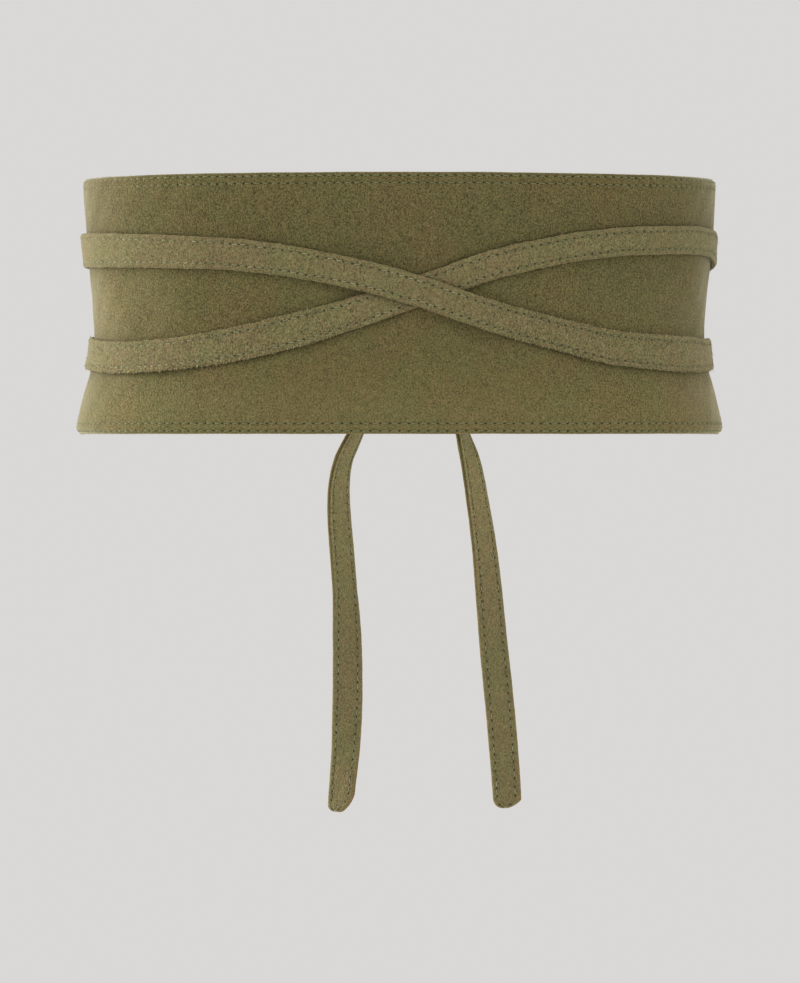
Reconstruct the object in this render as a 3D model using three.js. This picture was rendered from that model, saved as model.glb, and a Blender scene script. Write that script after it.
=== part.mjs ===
import * as THREE from 'three';

// Suede waist belt in millimetres, +Z up, front towards -Y, seen from the front +X is to the right.
// The origin is the middle of the waist opening at its narrowest height.
// Places on the belt are given as turn, height and out: the turn in degrees round the waist from the
// centre front towards the right, the height above the origin and the distance outside the panel.

// Panel
const panelBottom = -40;
const panelWall = 2.4;
const depthShare = 0.69;
const backGap = 22;
const endCornerRadius = 12;
const panelColumns = 66;

// Straps
const strapThick = 2.6;
const strapEdge = 0.5;
const gap = 0.35;
const wrapStep = 4.4;
const sewnCornerRadius = 1.5;

// Knot at the centre back, a half knot of the two straps lying level across the panel
const knotX = 4;
const knotHeight = -3.5;
const knotLength = 24;
const knotRadius = 4.8;
const knotTurns = 540;
const knotSections = 36;
const knotFlat = 0.32;
const approachLength = 34;

const degrees = Math.PI / 180;

// Panel outline: height above the lower edge, half width outside, and how far the edges are rounded off
const panelRows = [
  { up: 0, half: 146.6, rounding: 0.9 },
  { up: 1.1, half: 146.7, rounding: 0 },
  { up: 2.8, half: 146.7, rounding: 0 },
  { up: 6, half: 146.4, rounding: 0 },
  { up: 12, half: 144.9, rounding: 0 },
  { up: 20, half: 142.7, rounding: 0 },
  { up: 29, half: 140.2, rounding: 0 },
  { up: 38, half: 138.5, rounding: 0 },
  { up: 47, half: 138.5, rounding: 0 },
  { up: 60, half: 139.4, rounding: 0 },
  { up: 76, half: 140.7, rounding: 0 },
  { up: 94, half: 142.3, rounding: 0 },
  { up: 104, half: 143, rounding: 0 },
  { up: 109.5, half: 143.3, rounding: 0 },
  { up: 112.7, half: 143.4, rounding: 0 },
  { up: 114.4, half: 143.4, rounding: 0 },
  { up: 115.5, half: 143.4, rounding: 0.9 },
];
const panelHeight = panelRows[panelRows.length - 1].up;

// Over strap: sewn on the right end, across the back, down the front from left to right, to the knot
const overRoute = [
  { turn: -207, height: 14.5, width: 14.5 },
  { turn: -198, height: 15.3, width: 14.5 },
  { turn: -189, height: 20.2, width: 14.5 },
  { turn: -180, height: 28, width: 14.5 },
  { turn: -171, height: 34.3, width: 14.5 },
  { turn: -150, height: 39, width: 14.5 },
  { turn: -120, height: 41.5, width: 14.5 },
  { turn: -90, height: 42.7, width: 15.2 },
  { turn: -68, height: 42.1, width: 15.4 },
  { turn: -45, height: 40.6, width: 14.6 },
  { turn: -30, height: 38.8, width: 14.1 },
  { turn: -18, height: 35, width: 13.7 },
  { turn: -6, height: 29, width: 13.5 },
  { turn: 4, height: 22.1, width: 13.5 },
  { turn: 16, height: 12.2, width: 13.5 },
  { turn: 31, height: 3.4, width: 14.2 },
  { turn: 43, height: -2, width: 15.2 },
  { turn: 63, height: -4.4, width: 16.2 },
  { turn: 78, height: -4.8, width: 15.2 },
  { turn: 90, height: -4.3, width: 14.5 },
  { turn: 120, height: -3.4, width: 14.4 },
  { turn: 180, height: -1.5, width: 14.1 },
];

// Under strap, with its turns counted towards the left: the same way round, seen in a mirror
const underRoute = [
  { turn: -207, height: 14.5, width: 14.2 },
  { turn: -198, height: 15.3, width: 14.2 },
  { turn: -189, height: 20.2, width: 14.2 },
  { turn: -180, height: 28, width: 14 },
  { turn: -171, height: 34.3, width: 13.8 },
  { turn: -150, height: 36.6, width: 13.4 },
  { turn: -120, height: 37.2, width: 13 },
  { turn: -108, height: 37.6, width: 12.8 },
  { turn: -99, height: 39, width: 12.8 },
  { turn: -91, height: 42, width: 12.8 },
  { turn: -83, height: 44.9, width: 12.7 },
  { turn: -71, height: 46.4, width: 12.6 },
  { turn: -52, height: 45.9, width: 12.7 },
  { turn: -40, height: 44.2, width: 12.7 },
  { turn: -30, height: 41.1, width: 12.8 },
  { turn: -16, height: 33.5, width: 13 },
  { turn: -4, height: 22.9, width: 13.2 },
  { turn: 9, height: 12.4, width: 13.8 },
  { turn: 18, height: 6.3, width: 14.9 },
  { turn: 27, height: 1.3, width: 15.2 },
  { turn: 39, height: -3.1, width: 14.6 },
  { turn: 51, height: -5.4, width: 14.2 },
  { turn: 68, height: -5.7, width: 14.1 },
  { turn: 90, height: -3.6, width: 14.1 },
  { turn: 120, height: -3, width: 14 },
  { turn: 180, height: -1.5, width: 13.7 },
];

// Where the over strap is lifted over the other one: middle, half length lifted in full, and its slope
const crossings = [
  { turn: -180, reach: 11.5, slope: 7.5 },
  { turn: 3.6, reach: 10, slope: 10 },
];

// Hanging ends below the knot: side is the distance from the centre back in the direction of travel,
// twist turns the width from across the view (0) to in line with it (90), out is from the panel
const overTail = [
  { side: 11.6, height: -8.6, out: 5.6, twist: 89 },
  { side: 13.4, height: -16, out: 6.6, twist: 86 },
  { side: 16, height: -28, out: 7.8, twist: 77 },
  { side: 20.6, height: -40, out: 8.3, twist: 64 },
  { side: 26.4, height: -53, out: 8.2, twist: 54 },
  { side: 28.5, height: -66, out: 8.2, twist: 43 },
  { side: 28.2, height: -81, out: 8, twist: 37 },
  { side: 26.9, height: -98, out: 8, twist: 35 },
  { side: 25.6, height: -115, out: 8, twist: 32 },
  { side: 24.6, height: -137, out: 8, twist: 12 },
  { side: 24.4, height: -154, out: 8, twist: 0 },
  { side: 24.6, height: -171, out: 8, twist: -12 },
  { side: 25.3, height: -188, out: 8, twist: -30 },
  { side: 26.8, height: -205, out: 8, twist: -40 },
  { side: 28, height: -217.4, out: 8, twist: -42 },
];
const underTail = [
  { side: 19.4, height: -8.6, out: 5.6, twist: 91 },
  { side: 21.9, height: -16, out: 6.6, twist: 95 },
  { side: 25.7, height: -28, out: 7.8, twist: 100 },
  { side: 29.6, height: -40, out: 8.3, twist: 107 },
  { side: 33.1, height: -52, out: 8.2, twist: 120 },
  { side: 35.4, height: -64, out: 8.2, twist: 125 },
  { side: 38.1, height: -81, out: 8, twist: 130 },
  { side: 40.4, height: -98, out: 8, twist: 137 },
  { side: 44, height: -137, out: 8, twist: 151 },
  { side: 47.4, height: -171, out: 8, twist: 167 },
  { side: 50.2, height: -205, out: 8, twist: 180 },
  { side: 50.8, height: -216, out: 8, twist: 185 },
];

// The tips: how far each corner is cut in from the side and up from the end, and the bow of the right-hand
// cut, 1 for a straight one and 2 for a round one
const overTip = { rightIn: 7, rightUp: 9.5, rightBow: 1.5, leftIn: 3.4, leftUp: 3.4 };
const underTip = { rightIn: 6.8, rightUp: 4.4, rightBow: 1.25, leftIn: 4.8, leftUp: 4.6 };

// Half width of the panel at a height, straight between the rows and constant beyond them
function halfWidthAt(height) {
  const up = height - panelBottom;
  const last = panelRows.length - 1;
  if (up <= panelRows[1].up) return panelRows[1].half;
  if (up >= panelRows[last].up) return panelRows[last].half;
  let row = 1;
  while (up > panelRows[row + 1].up) row += 1;
  const below = panelRows[row];
  const above = panelRows[row + 1];
  return below.half + ((above.half - below.half) * (up - below.up)) / (above.up - below.up);
}

// The point at a turn, a height and a distance outside the panel's elliptic outer face
function place(turn, height, out) {
  const wide = halfWidthAt(height);
  const deep = wide * depthShare;
  const sin = Math.sin(turn * degrees);
  const cos = Math.cos(turn * degrees);
  const outward = new THREE.Vector2(sin / wide, -cos / deep).normalize();
  return new THREE.Vector3(wide * sin + out * outward.x, -deep * cos + out * outward.y, height);
}

// Millimetres round the waist for one degree of turn: that of the ellipse, more outside it by its curvature
function speedAt(turn, height = 0, out = 0) {
  const wide = halfWidthAt(height);
  const deep = wide * depthShare;
  const speed = Math.hypot(wide * Math.cos(turn * degrees), deep * Math.sin(turn * degrees));
  return speed * (1 + (out * wide * deep) / speed ** 3) * degrees;
}

// The turn of a place near the back that is so far to the side of the centre back
function turnAtSide(side, height = 0, out = 0) {
  return 180 + Math.asin(side / (halfWidthAt(height) + out * depthShare)) / degrees;
}

function ease(share) {
  const t = Math.min(1, Math.max(0, share));
  return t * t * (3 - 2 * t);
}

// Smooth curve through one column of a table, read along another column
function column(rows, key, name, at) {
  const from = (value) => Math.abs(value - rows[0][key]);
  let i = 0;
  while (i < rows.length - 2 && from(at) > from(rows[i + 1][key])) i += 1;
  const slopeAt = (k) => {
    const before = rows[Math.max(0, k - 1)];
    const after = rows[Math.min(rows.length - 1, k + 1)];
    return (after[name] - before[name]) / (after[key] - before[key]);
  };
  const start = rows[i];
  const end = rows[i + 1];
  const span = end[key] - start[key];
  const t = (at - start[key]) / span;
  const t2 = t * t;
  const t3 = t2 * t;
  return start[name] * (2 * t3 - 3 * t2 + 1) + slopeAt(i) * span * (t3 - 2 * t2 + t)
    + end[name] * (3 * t2 - 2 * t3) + slopeAt(i + 1) * span * (t3 - t2);
}

// How far a side is drawn in by a corner's cut, which may reach further along than it cuts in
function cornerInset(distance, cut, reach = cut, bow = 2) {
  const missing = Math.max(0, reach - distance) / reach;
  return cut * (1 - Math.max(0, 1 - missing ** bow) ** (1 / bow));
}

// Stations of a strap are centre and directions as (along the panel, height, out) vectors
function frame(centre, along, across) {
  const forward = along.clone().normalize();
  const wide = across.clone().addScaledVector(forward, -across.dot(forward)).normalize();
  return { centre, forward, wide, thick: new THREE.Vector3().crossVectors(forward, wide) };
}

// Round the waist, from the sewn end to where the strap starts to roll up for the knot
function wrapStations(route, lifted) {
  const first = route[0].turn;
  const start = -knotLength / 2 - approachLength + (lifted ? -knotX : knotX);
  const last = turnAtSide(start, 0, gap + strapThick / 2);
  const count = Math.round((last - first) / wrapStep);
  const turns = [first, first + 0.25, first + 0.75];
  for (let i = 1; i <= count; i += 1) turns.push(first + ((last - first) * i) / count);
  const outAt = (turn) => {
    let lift = 0;
    if (lifted) {
      for (const over of crossings) {
        lift = Math.max(lift, ease((over.reach + over.slope - Math.abs(turn - over.turn)) / over.slope));
      }
    }
    return gap + strapThick / 2 + lift * (strapThick + gap);
  };
  return turns.map((turn) => {
    const height = column(route, 'turn', 'height', turn);
    const speed = speedAt(turn);
    const along = new THREE.Vector3(
      speed,
      column(route, 'turn', 'height', turn + 0.5) - column(route, 'turn', 'height', turn - 0.5),
      outAt(turn + 0.5) - outAt(turn - 0.5),
    );
    const up = new THREE.Vector3(-along.y, along.x, 0);
    const inset = cornerInset((turn - first) * speed, sewnCornerRadius);
    const width = column(route, 'turn', 'width', turn) - 2 * inset;
    const centre = new THREE.Vector3(0, height, outAt(turn));
    return { turn, width, offset: 0, fold: 0, ...frame(centre, along, up) };
  });
}

// Rolling up: the strap turns onto its edge and is gathered to half a round rope before the knot
function approachStations(route, shift) {
  const steps = 9;
  const stations = [];
  const start = shift - knotLength / 2 - approachLength;
  const centreAt = (share) => {
    const side = start + approachLength * share;
    const roll = 90 * ease(share / 0.9) * degrees;
    const fold = ease((share - 0.45) / 0.55);
    const width = column(route, 'turn', 'width', turnAtSide(side));
    const halfWide = (width / 2) * (1 - fold) + knotRadius * fold;
    const halfThick = (strapThick / 2) * (1 - fold) + (knotRadius / 2) * fold;
    const level = column(route, 'turn', 'height', turnAtSide(side));
    const top = knotHeight + knotFlat + (knotRadius - knotFlat) / 2;
    return {
      side, roll, fold, width,
      centre: new THREE.Vector3(
        side,
        level + (top - level) * ease(share),
        gap + halfWide * Math.sin(roll) + halfThick * Math.cos(roll),
      ),
    };
  };
  for (let i = 1; i < steps; i += 1) {
    const here = centreAt(i / steps);
    const along = centreAt(i / steps + 0.02).centre.sub(centreAt(i / steps - 0.02).centre);
    const across = new THREE.Vector3(0, Math.cos(here.roll), -Math.sin(here.roll));
    const centre = new THREE.Vector3(0, here.centre.y, here.centre.z);
    const turn = turnAtSide(here.side, centre.y, centre.z);
    stations.push({ turn, width: here.width, offset: 0, fold: here.fold, ...frame(centre, along, across) });
  }
  return stations;
}

// The knot: each strap is half of a round rope that turns one and a half times about a level axis
function knotStations(shift, handing, width) {
  const stations = [];
  const out = gap + knotRadius;
  const middle = (knotRadius + knotFlat) / 2;
  for (let i = 0; i <= knotSections; i += 1) {
    const share = i / knotSections;
    const eased = share - Math.sin(2 * Math.PI * share) / (2 * Math.PI) * 0.7;
    const angle = (90 + handing * knotTurns * eased) * degrees;
    const outer = new THREE.Vector3(0, Math.sin(angle), Math.cos(angle));
    const across = new THREE.Vector3(0, Math.cos(angle), -Math.sin(angle));
    const turn = turnAtSide(shift - knotLength / 2 + knotLength * share, knotHeight, out);
    const centre = new THREE.Vector3(0, knotHeight, out).addScaledVector(outer, middle);
    const along = new THREE.Vector3(1, 0, 0);
    stations.push({ turn, width, offset: 0, fold: 1, ...frame(centre, along, across) });
  }
  return stations;
}

// The hanging end, from the knot to its rounded tip
function tailStations(tail, tip, shift, width) {
  const exit = shift + knotLength / 2;
  const exitHeight = knotHeight - (knotRadius + knotFlat) / 2;
  const points = [new THREE.Vector3(exit - 2.5, exitHeight, gap + knotRadius)];
  points.push(new THREE.Vector3(exit, exitHeight, gap + knotRadius));
  for (const row of tail) points.push(new THREE.Vector3(row.side, row.height, row.out));
  const curve = new THREE.CatmullRomCurve3(points, false, 'centripetal');
  curve.arcLengthDivisions = 600;
  const total = curve.getLength();
  const exitAt = 2.5 / total;
  const places = [2.2, 4.2, 6.2, 8.4, 11, 14, 18, 23];
  for (let at = 30; at < total - 15; at += 8) places.push(at);
  for (const back of [10, 7, 4.6, 2.8, 1.5, 0.5, 0]) places.push(total - 2.5 - back);
  return places.map((at) => {
    const share = Math.min(1, exitAt + at / total);
    const centre = curve.getPointAt(share);
    const along = curve.getTangentAt(share);
    const fold = 1 - ease(at / 22);
    const first = tail[0];
    const twist = centre.y > first.height ? 90 : column(tail, 'height', 'twist', centre.y);
    const out = new THREE.Vector3(0, 0, 1).addScaledVector(along, -along.z).normalize();
    const across = out.clone().multiplyScalar(Math.sin(twist * degrees));
    across.addScaledVector(new THREE.Vector3().crossVectors(along, out), Math.cos(twist * degrees));
    const right = cornerInset(total - 2.5 - at, tip.rightIn, tip.rightUp, tip.rightBow);
    const left = cornerInset(total - 2.5 - at, tip.leftIn, tip.leftUp);
    const offset = (left - right) / 2;
    const flat = new THREE.Vector3(0, centre.y, centre.z);
    const turn = turnAtSide(centre.x, centre.y, centre.z);
    return { turn, width: width - right - left, offset, fold, ...frame(flat, along, across) };
  });
}

// Section outline of a strap, flat with eased edges and, where it is folded, half of a round rope
function strapOutline(width, fold) {
  const half = width / 2;
  const thick = strapThick / 2;
  const edge = Math.min(strapEdge, half / 2);
  const flat = [
    [half, -thick + strapEdge], [half, thick - strapEdge], [half - edge, thick], [-half + edge, thick],
    [-half, thick - strapEdge], [-half, -thick + strapEdge], [-half + edge, -thick], [half - edge, -thick],
  ];
  const middle = (knotRadius + knotFlat) / 2;
  const round = [3.5, 35, 68, 112, 145, 176.5].map((angle) => [
    knotRadius * Math.cos(angle * degrees),
    knotRadius * Math.sin(angle * degrees) - middle,
  ]);
  round.push([-knotRadius * 0.45, knotFlat - middle], [knotRadius * 0.45, knotFlat - middle]);
  return flat.map(([across, up], i) => [
    across + (round[i][0] - across) * fold,
    up + (round[i][1] - up) * fold,
  ]);
}

// Closed solid through sections of equal point count, with flat ends
function loft(sections, mirrored) {
  const count = sections[0].length;
  const positions = [];
  for (const section of sections) {
    for (const point of section) positions.push(mirrored ? -point.x : point.x, point.y, point.z);
  }
  const triangles = [];
  const add = (a, b, c) => {
    if (mirrored) triangles.push(a, c, b);
    else triangles.push(a, b, c);
  };
  for (let i = 0; i < sections.length - 1; i += 1) {
    for (let j = 0; j < count; j += 1) {
      const k = (j + 1) % count;
      const a = i * count + j;
      const b = i * count + k;
      add(a, b, b + count);
      add(a, b + count, a + count);
    }
  }
  const end = (sections.length - 1) * count;
  for (let j = 1; j < count - 1; j += 1) {
    add(0, j + 1, j);
    add(end, end + j, end + j + 1);
  }
  const geometry = new THREE.BufferGeometry();
  geometry.setAttribute('position', new THREE.Float32BufferAttribute(positions, 3));
  geometry.setIndex(triangles);
  geometry.computeVertexNormals();
  return geometry;
}

function strapGeometry(route, tail, tip, mirrored) {
  const shift = mirrored ? knotX : -knotX;
  const handing = mirrored ? -1 : 1;
  const width = route[route.length - 1].width;
  const stations = [
    ...wrapStations(route, !mirrored),
    ...approachStations(route, shift),
    ...knotStations(shift, handing, width),
    ...tailStations(tail, tip, shift, width),
  ];
  const pointOf = (station, across, up) => {
    const point = station.centre.clone().addScaledVector(station.wide, across + station.offset);
    point.addScaledVector(station.thick, up);
    return place(station.turn + point.x / speedAt(station.turn, point.y, point.z), point.y, point.z);
  };
  const sections = stations.map((station) => {
    const outline = strapOutline(station.width, station.fold);
    return outline.map(([across, up]) => pointOf(station, across, up));
  });
  return loft(sections, mirrored);
}

// The panel: one wide piece bent round the waist, with rounded corners at the gap in the back
function panelGeometry() {
  const outer = panelRows.map((row) => [row.up, -row.rounding]);
  const inner = panelRows.map((row) => [row.up, row.rounding - panelWall]).reverse();
  const profile = [...outer, ...inner];
  const endAt = (up) => {
    const edge = Math.min(up, panelHeight - up);
    return 180 - Math.asin((backGap / 2 + cornerInset(edge, endCornerRadius)) / halfWidthAt(0)) / degrees;
  };
  const sections = [];
  for (let i = 0; i <= panelColumns; i += 1) {
    const share = (2 * i) / panelColumns - 1;
    sections.push(profile.map(([up, out]) => place(share * endAt(up), panelBottom + up, out)));
  }
  const count = profile.length;
  const positions = sections.flat().flatMap((point) => [point.x, point.y, point.z]);
  const triangles = [];
  for (let i = 0; i < panelColumns; i += 1) {
    for (let j = 0; j < count; j += 1) {
      const a = i * count + j;
      const b = i * count + ((j + 1) % count);
      triangles.push(a, b + count, b, a, a + count, b + count);
    }
  }
  const end = panelColumns * count;
  for (let j = 0; j < panelRows.length - 1; j += 1) {
    const partner = count - 1 - j;
    triangles.push(j, j + 1, partner, j + 1, partner - 1, partner);
    triangles.push(end + j, end + partner, end + j + 1, end + j + 1, end + partner, end + partner - 1);
  }
  const geometry = new THREE.BufferGeometry();
  geometry.setAttribute('position', new THREE.Float32BufferAttribute(positions, 3));
  geometry.setIndex(triangles);
  geometry.computeVertexNormals();
  return geometry;
}

function piece(name, geometry, color) {
  const material = new THREE.MeshStandardMaterial({ color, roughness: 0.95, metalness: 0 });
  const mesh = new THREE.Mesh(geometry, material);
  mesh.name = name;
  return mesh;
}

const group = new THREE.Group();
group.name = 'suede_waist_belt';
group.add(
  piece('panel', panelGeometry(), 0x6c6740),
  piece('strap_over', strapGeometry(overRoute, overTail, overTip, false), 0x827a52),
  piece('strap_under', strapGeometry(underRoute, underTail, underTip, true), 0x7d764f),
);

export default group;
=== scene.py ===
import bpy
import numpy as np
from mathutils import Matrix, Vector


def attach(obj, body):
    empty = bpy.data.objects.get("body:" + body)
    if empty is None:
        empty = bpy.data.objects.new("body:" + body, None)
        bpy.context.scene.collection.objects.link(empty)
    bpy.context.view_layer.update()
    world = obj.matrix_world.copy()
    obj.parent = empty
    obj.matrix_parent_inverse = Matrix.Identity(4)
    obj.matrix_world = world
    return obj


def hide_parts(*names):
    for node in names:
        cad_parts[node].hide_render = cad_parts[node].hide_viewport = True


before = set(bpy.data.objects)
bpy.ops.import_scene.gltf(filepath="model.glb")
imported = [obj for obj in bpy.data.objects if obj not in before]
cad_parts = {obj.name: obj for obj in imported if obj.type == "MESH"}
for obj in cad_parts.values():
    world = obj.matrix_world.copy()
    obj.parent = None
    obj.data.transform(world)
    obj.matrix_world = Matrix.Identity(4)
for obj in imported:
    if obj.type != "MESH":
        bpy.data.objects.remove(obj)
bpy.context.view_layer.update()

# A suede waist belt, worn shape. All the shapes are worked out in millimetres with +Z up and the
# front towards -Y, and go into Blender in metres. A place on the belt is (turn, height, out): degrees
# round the waist from the centre front to the right, height, and distance outside the panel.
millimetre = 0.001

belt = {
    "bottom": -40.25,
    "tall": 115.3,
    "wall": 2.4,
    "depthShare": 0.69,
    # half the width by height above the lower edge
    "up": [0, 3, 6, 12, 20, 29, 38, 47, 60, 76, 94, 104, 112, 115.3],
    "half": [146.6, 146.7, 146.4, 144.9, 142.7, 140.2, 138.5, 138.5, 139.4, 140.7, 142.3, 143.0, 143.4,
             143.4],
    "backGap": 22.0,
    "endCorner": 12.0,
    "endRound": 1.1,  # the wall rounds off over this length at both ends
    "edgeRound": 2.3,
    "stitchIn": [1.35, 4.6],  # from the edge to its two rows of stitches
    "topShift": 0.2,  # the rows lie so much further in along the top
    "pitch": 4.0,
    "threadSunk": 0.08,
    "grooveDeep": 0.2,
    "grooveWide": 0.7,
    "grooveSwing": 0.35,  # share by which a groove is deeper at the needle holes
    "puff": 0.12,  # how far the suede stands up between the two rows
    "swell": 0.45,  # long soft swells, none at the edges
    "swellWave": 61,
    "dimple": 0.16,
    "dimpleWave": 23,
    "wander": 0.07,  # unevenness of the cut along both long edges
    "wanderWave": 47,
    "tuck": 1.15,  # how far the lower edge draws in at both sides
    "tuckTall": 2.8,
    "topTuck": 0.9,
    "topTuckTall": 2.0,
    "sunkFrom": 35,  # the nap hides the stitches from this turn on, on the left
    "sunkLow": 0.6,  # and by this share along the lower edge
    "rawWide": 0.55,  # how wide the cut's raw rim is along the edges, and at the ends
    "rawEnd": 0.7,
    "paintedShadingUp": [0, 12, 26, 45, 62, 78, 100, 115],  # painted light and shade by height: lighter towards the lower edge, darker above the middle
    "paintedShading": [1.17, 1.15, 1.04, 0.99, 0.97, 0.92, 0.92, 1.0],
    # a place on the left side that is painted lighter: painted light
    "patch": {"turn": -73, "up": 62, "wide": 14, "tall": 20, "paintedShading": 0.17},
    # the grain is finest at the centre front, coarser towards the sides and the top
    "rough": {"least": 0.82, "sides": 0.28, "sidesFrom": 12, "fade": 35, "top": 0.35, "most": 1.15},
    "columns": 560,
}

strap = {
    "thick": 2.6,
    "clear": 0.2,  # between the strap and the panel
    "layerGap": 0.2,  # between the two straps where they cross
    "waver": 0.12,  # how far it wavers in and out on its way round
    "waverWave": 17,
    "lean": 3.0,  # degrees by which it tips to and fro
    "leanWave": 29,
    "edgeWaves": [(0.13, 23), (0.1, 5.5)],  # how far each long edge wanders, and the wave of it
    "hangSteady": 0.65,  # share of that which the hanging ends are without
    "stitchIn": 2.45,  # from each edge to its stitches
    "pitch": 4.0,
    "threadSunk": 0.22,
    "crossSunk": 0.1,  # the same for the short rows across
    "gatheredFrom": 0.35,  # no stitches where the strap is folded more than this in the knot
    # the square that holds the sewn end on the panel: its two short rows, from the end
    "endRows": (3.2, 26.0),
    "endRowHalf": 4.6,
    "endPitch": 3.05,
    "rightThreadShade": {"share": 0.85, "from": 20, "fade": 40, "above": -20},  # painted shade on the thread, on the right of the waist
    "sunkFrom": 25,
    "grooveDeep": 0.22,
    "grooveWide": 0.6,
    "grooveSwing": 0.3,
    "dimple": 0.07,
    "dimpleWave": 13,
    "shoulder": 1.05,  # how far each face rounds down at its edge, and over what width
    "shoulderWide": 1.8,
    "seamDeep": 0.16,  # the line between the two layers, in each edge
    "seamWide": 0.09,
    "paintedShadingHeight": [-217, -175, -140, -110, -70, -30, -8],  # painted light: the hanging ends are lighter towards the knot
    "paintedShading": [0.04, 0.09, 0.07, 0.14, 0.32, 0.36, 0.0],
    "low": (14, 8),  # the runs below this height have a rougher nap, over this fade
    "lowRough": 0.22,
    "hangRough": -0.25,
}

# On the hanging ends the right edge shows raw. The left one, down from the knot, gets a painted highlight
# line on the front layer's edge and a line of painted shade between the two layers, so far from the middle of
# the thickness
edgePaint = {
    "rawWide": 0.42,
    "rawEnd": 0.6,
    "hang": (-8, 12),  # height where they start to hang, and fade
    "lines": (-150, 90),  # height where the two lines end, and fade
    "seamWide": 0.25,
    "edgeShadeAt": 0.55,
    "edgeShadeWide": 0.45,
    "shadeBehind": 0.15,  # painted shade on the layer behind
    "paintedHighlight": 0.45,
    "lightIn": 0.95,
    "lightWide": 0.4,
}

# The knot is a round rope of both straps; pleats are a share of its radius
knot = {
    "x": 4.0,  # each strap's stretch of it lies so far to its own side of the centre back
    "height": -3.5,
    "long": 24.0,
    "radius": 4.8,
    "turn": 540.0,
    "flat": 0.1,
    "approach": 34.0,  # each strap rolls up onto its edge over this length
    "opens": 22.0,  # and unfolds again over this one
    "tightening": 0.7,  # the twist is this much quicker in the middle
    "pleat": 0.045,
    "pleats": 9,
    "pleatWander": 0.02,
}

# Where each strap runs: rows of turn, height and width from its sewn end to the knot, then of the hanging
# end to the side, height, out and degrees of twist. The mirrored strap counts turns and sides to the left
overStrap = {
    "turn": [-207, -198, -189, -180, -171, -150, -120, -90, -68, -45, -30, -18, -6, 4, 16, 31, 43, 63, 78,
             90, 120, 180],
    "height": [14.5, 15.3, 20.2, 28, 34.3, 39, 41.5, 42.7, 42.1, 40.6, 38.8, 35, 29, 22.1, 12.2, 3.4, -2,
               -4.4, -4.6, -4.0, -3.2, -1.5],
    "width": [14.5, 14.5, 14.5, 14.5, 14.5, 14.5, 14.5, 15.2, 15.4, 14.6, 14.1, 13.7, 13.5, 13.5, 13.5, 14.2,
              15.2, 16.0, 14.8, 13.9, 14.0, 14.1],
    "lifts": [(-180, 11.5, 7.5), (3.6, 10, 10)],  # turn, half length lifted in full, slope
    "leans": [(92, 5, 14)],  # turn, degrees that the upper edge leans out there, and reach
    "bows": [(92, 0.45, 14)],  # turn, how far the middle of the width stands out there, and reach
    "tailSide": [11.6, 13.4, 16, 20.6, 26.4, 28.5, 28.2, 26.9, 25.6, 24.6, 24.4, 24.6, 25.3, 26.8, 28],
    "tailHeight": [-8.6, -16, -28, -40, -53, -66, -81, -98, -115, -137, -154, -171, -188, -205, -218.2],
    "tailOut": [5.6, 6.6, 7.8, 8.3, 8.2, 8.2, 8, 8, 8, 8, 8, 8, 8, 8, 8],
    "tailTwist": [89, 85, 74, 59, 50, 41, 34.5, 32, 31, 12, 0, -12, -27, -38, -42],
    # right and left corner: in from the side, up from the end, and bow (1 straight, 2 round)
    "tipCut": {1: (7.0, 9.5, 1.5), -1: (3.4, 3.4, 2.0)},
    "mirrored": False,
}

underStrap = {
    "turn": [-207, -198, -189, -180, -171, -150, -120, -108, -99, -91, -83, -71, -52, -40, -30, -16, -4, 9,
             18, 27, 39, 51, 68, 90, 120, 180],
    "height": [14.5, 15.3, 20.2, 28, 34.3, 36.9, 37.9, 38.6, 40, 42.4, 44.9, 46.4, 45.9, 44.2, 41.1, 33.5,
               22.9, 12.4, 6.3, 1.3, -3.1, -5.4, -5.7, -3.4, -3, -1.5],
    "width": [14.2, 14.2, 14.2, 14, 13.8, 13.4, 13, 12.8, 12.8, 12.8, 12.7, 12.6, 12.7, 12.7, 12.8, 13, 13.2,
              13.8, 14.9, 15.2, 14.6, 14.2, 14.1, 14.1, 14, 13.7],
    "lifts": [],
    "leans": [(92, 0.5, 14), (-96, -5, 12)],
    "bows": [],
    "tailSide": [19.4, 21.9, 25.7, 29.6, 33.1, 35.4, 38.1, 40.4, 44, 47.4, 50.2, 50.8],
    "tailHeight": [-8.6, -16, -28, -40, -52, -64, -81, -98, -137, -171, -205, -216],
    "tailOut": [5.6, 6.6, 7.8, 8.3, 8.2, 8.2, 8, 8, 8, 8, 8, 8],
    "tailTwist": [91, 94, 98.5, 105.5, 119, 125, 130, 137, 151, 167, 180, 185],
    "tipCut": {1: (6.7, 3.8, 1.3), -1: (4.6, 4.6, 2.0)},
    "mirrored": True,
}


def smoothCurve(xs, ys, at):
    # Cubic through each pair of rows, with the slope at a row taken from its two neighbours
    xs, ys = np.asarray(xs, float), np.asarray(ys, float)
    first = (ys[1] - ys[0]) / (xs[1] - xs[0])
    last = (ys[-1] - ys[-2]) / (xs[-1] - xs[-2])
    slope = np.concatenate([[first], (ys[2:] - ys[:-2]) / (xs[2:] - xs[:-2]), [last]])
    at = np.clip(at, xs[0], xs[-1])
    i = np.clip(np.searchsorted(xs, at, side="right") - 1, 0, len(xs) - 2)
    span = xs[i + 1] - xs[i]
    t = (at - xs[i]) / span
    return (ys[i] * (2 * t**3 - 3 * t**2 + 1) + slope[i] * span * (t**3 - 2 * t**2 + t)
            + ys[i + 1] * (3 * t**2 - 2 * t**3) + slope[i + 1] * span * (t**3 - t**2))


def ease(share):
    # 0 to 1 with level ends: 3 t^2 - 2 t^3
    t = np.clip(share, 0.0, 1.0)
    return t * t * (3 - 2 * t)


def ripple(at, wave, seed):
    # Soft unevenness between about -1 and 1: the sum of four sines, of wave * k, with fixed phases
    phases = np.random.default_rng(seed).uniform(0, 2 * np.pi, 4)
    longer = (0.63, 1.0, 1.47, 2.3)
    return sum(np.sin(2 * np.pi * at / (wave * k) + phase) for k, phase in zip(longer, phases)) / 2.6


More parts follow.
